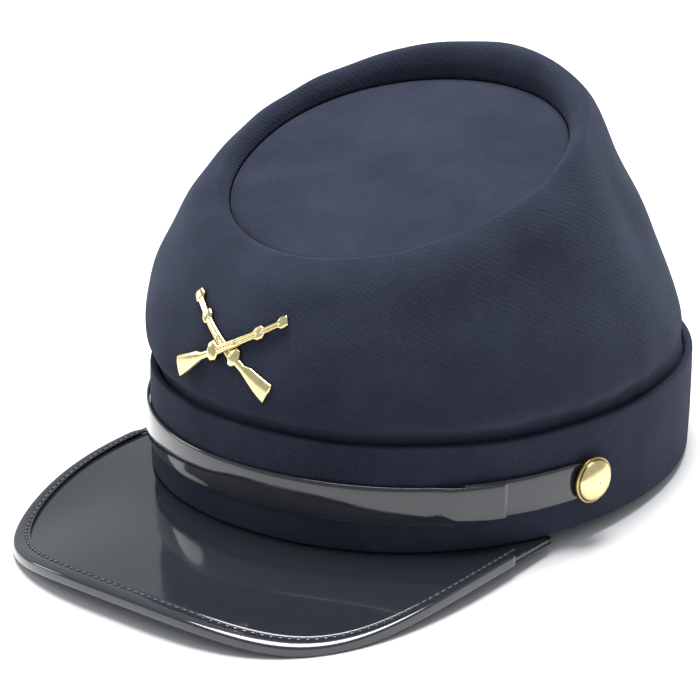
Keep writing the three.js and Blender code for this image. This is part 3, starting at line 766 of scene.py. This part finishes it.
def brass_material(group):
    material, nodes, links, shader = new_material("brass")
    coords = nodes.new("ShaderNodeTexCoord").outputs["Object"]
    relief = nodes.new("ShaderNodeAttribute")
    relief.attribute_name = "relief"
    colour = ramp(nodes, links, relief.outputs["Fac"], (0.2, BRASS_HOLLOW), (0.75, BRASS_RAISED))
    tarnish = noise(nodes, links, coords, 240.0, 4.0, 0.6)
    spots = ramp(nodes, links, tarnish, (0.3, TARNISHED), (0.6, POLISHED))
    mixed = nodes.new("ShaderNodeMix")
    mixed.data_type, mixed.blend_type = "RGBA", "MULTIPLY"
    mixed.inputs["Factor"].default_value = 0.6
    links.new(colour, mixed.inputs["A"])
    links.new(spots, mixed.inputs["B"])
    links.new(mixed.outputs["Result"], shader.inputs["Base Color"])
    worn = use_handling(nodes, group, 0.16, 0.34)
    links.new(worn.outputs["Roughness"], shader.inputs["Roughness"])
    links.new(bump(nodes, links, tarnish, 0.00008, 0.4), shader.inputs["Normal"])
    shader.inputs["Metallic"].default_value = 1.0
    return material


def thread_material():
    material, nodes, links, shader = new_material("black_thread")
    coords = nodes.new("ShaderNodeTexCoord").outputs["Object"]
    twist = noise(nodes, links, coords, 3000.0, 3.0, 0.6)
    colour = ramp(nodes, links, twist, (0.3, THREAD_DARK), (0.7, THREAD_LIGHT))
    links.new(colour, shader.inputs["Base Color"])
    links.new(bump(nodes, links, twist, 0.0001, 0.6), shader.inputs["Normal"])
    shader.inputs["Roughness"].default_value = 0.42
    return material


# Assembly

handling = handling_group()
wool = wool_material()
patent = patent_material(handling)
brass = brass_material(handling)
thread = thread_material()
strap_end = BUTTON_ANGLE + STRAP_TIP_WIDTH / BAND_HALF_WIDTH / 2

PIECES = [
    (make_crown(), "crown", wool, "navy_wool"),
    (make_top(), "crown_top", wool, "navy_wool"),
    (make_band(), "band", wool, "navy_wool"),
    (make_peak(), "peak", patent, "patent_black"),
    (make_binding(), "peak_binding", patent, "patent_black"),
    (
        make_strap("chin_strap_long", -strap_end, LAP_END, -strap_end, strap_lift),
        "chin_strap", patent, "patent_black",
    ),
    (
        make_strap("chin_strap_tab", TAB_END, strap_end, strap_end, tab_lift),
        "strap_tab", patent, "patent_black",
    ),
    (make_button("button_dome_left", 1), "button_left", brass, "brass"),
    (make_button("button_dome_right", -1), "button_right", brass, "brass"),
    (make_badge(), "badge", brass, "brass"),
]
for obj, node, material, slot in PIECES:
    obj.data.materials.clear()
    obj.data.materials.append(material)
    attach(obj, "root")
    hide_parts(node)

edge_turn = np.linspace(-BINDING_END + 0.02, BINDING_END - 0.02, 400)
stitch_path = peak_point(edge_turn, STITCH_INSET, GAP + BINDING_THICKNESS - STITCH_SUNK)
stitches = make_stitches("binding_stitches", stitch_path, STITCH_SPACING, thread)
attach(stitches, "root")

# Stage

def area_light(name, place, size, power):
    light = bpy.data.lights.new(name, "AREA")
    light.shape, light.size, light.energy = "DISK", size, power
    obj = bpy.data.objects.new(name, light)
    obj.location = place
    obj.rotation_euler = (Vector(LIGHT_AIM) - Vector(place)).to_track_quat("-Z", "Y").to_euler()
    bpy.context.scene.collection.objects.link(obj)


def make_stage():
    corners = FLOOR_HALF * np.array([(-1, -1, 0), (1, -1, 0), (1, 1, 0), (-1, 1, 0)])
    floor = mesh_object("floor", corners, [[0, 1, 2, 3]])
    material, nodes, links, shader = new_material("floor_paper")
    coords = nodes.new("ShaderNodeTexCoord").outputs["Object"]
    grain = noise(nodes, links, coords, 900.0, 2.0)
    paper = ramp(nodes, links, grain, (0.0, PAPER_DARK), (1.0, PAPER_LIGHT))
    links.new(paper, shader.inputs["Base Color"])
    shader.inputs["Roughness"].default_value = 0.9
    floor.data.materials.append(material)
    world = bpy.data.worlds.new("studio")
    world.use_nodes = True
    world.node_tree.nodes["Background"].inputs["Color"].default_value = SKY
    world.node_tree.nodes["Background"].inputs["Strength"].default_value = SKY_STRENGTH
    bpy.context.scene.world = world
    area_light("overhead", OVERHEAD_PLACE, OVERHEAD_SIZE, OVERHEAD_POWER)
    area_light("window", WINDOW_PLACE, WINDOW_SIZE, WINDOW_POWER)


def make_camera():
    sin_a, cos_a = math.sin(CAMERA_TURN), math.cos(CAMERA_TURN)
    sin_e, cos_e = math.sin(CAMERA_RISE), math.cos(CAMERA_RISE)
    back = np.array([sin_a * cos_e, -cos_a * cos_e, sin_e])
    right = np.array([cos_a, sin_a, 0.0])
    up = np.array([-sin_a * sin_e, cos_a * sin_e, cos_e])
    place = CAMERA_DISTANCE * back + CAMERA_RIGHT * right + CAMERA_UP * up
    turn = REST_TILT - CAMERA_TILT
    right, up, back, place = tipped(np.stack([right, up, back, place]), turn)
    place = (place + np.array([0, SHIFT_Y, SHIFT_Z])) * MM
    camera = bpy.data.objects.new("camera", bpy.data.cameras.new("camera"))
    camera.data.sensor_width, camera.data.lens = CAMERA_SENSOR, CAMERA_LENS
    camera.data.clip_start = 0.01
    axes = Matrix(np.stack([right, up, back], 1).tolist()).to_4x4()
    camera.matrix_world = Matrix.Translation(Vector(place)) @ axes
    bpy.context.scene.collection.objects.link(camera)
    bpy.context.scene.camera = camera


make_stage()
make_camera()
bpy.context.scene.view_settings.view_transform = "Standard"

bpy.context.view_layer.update()
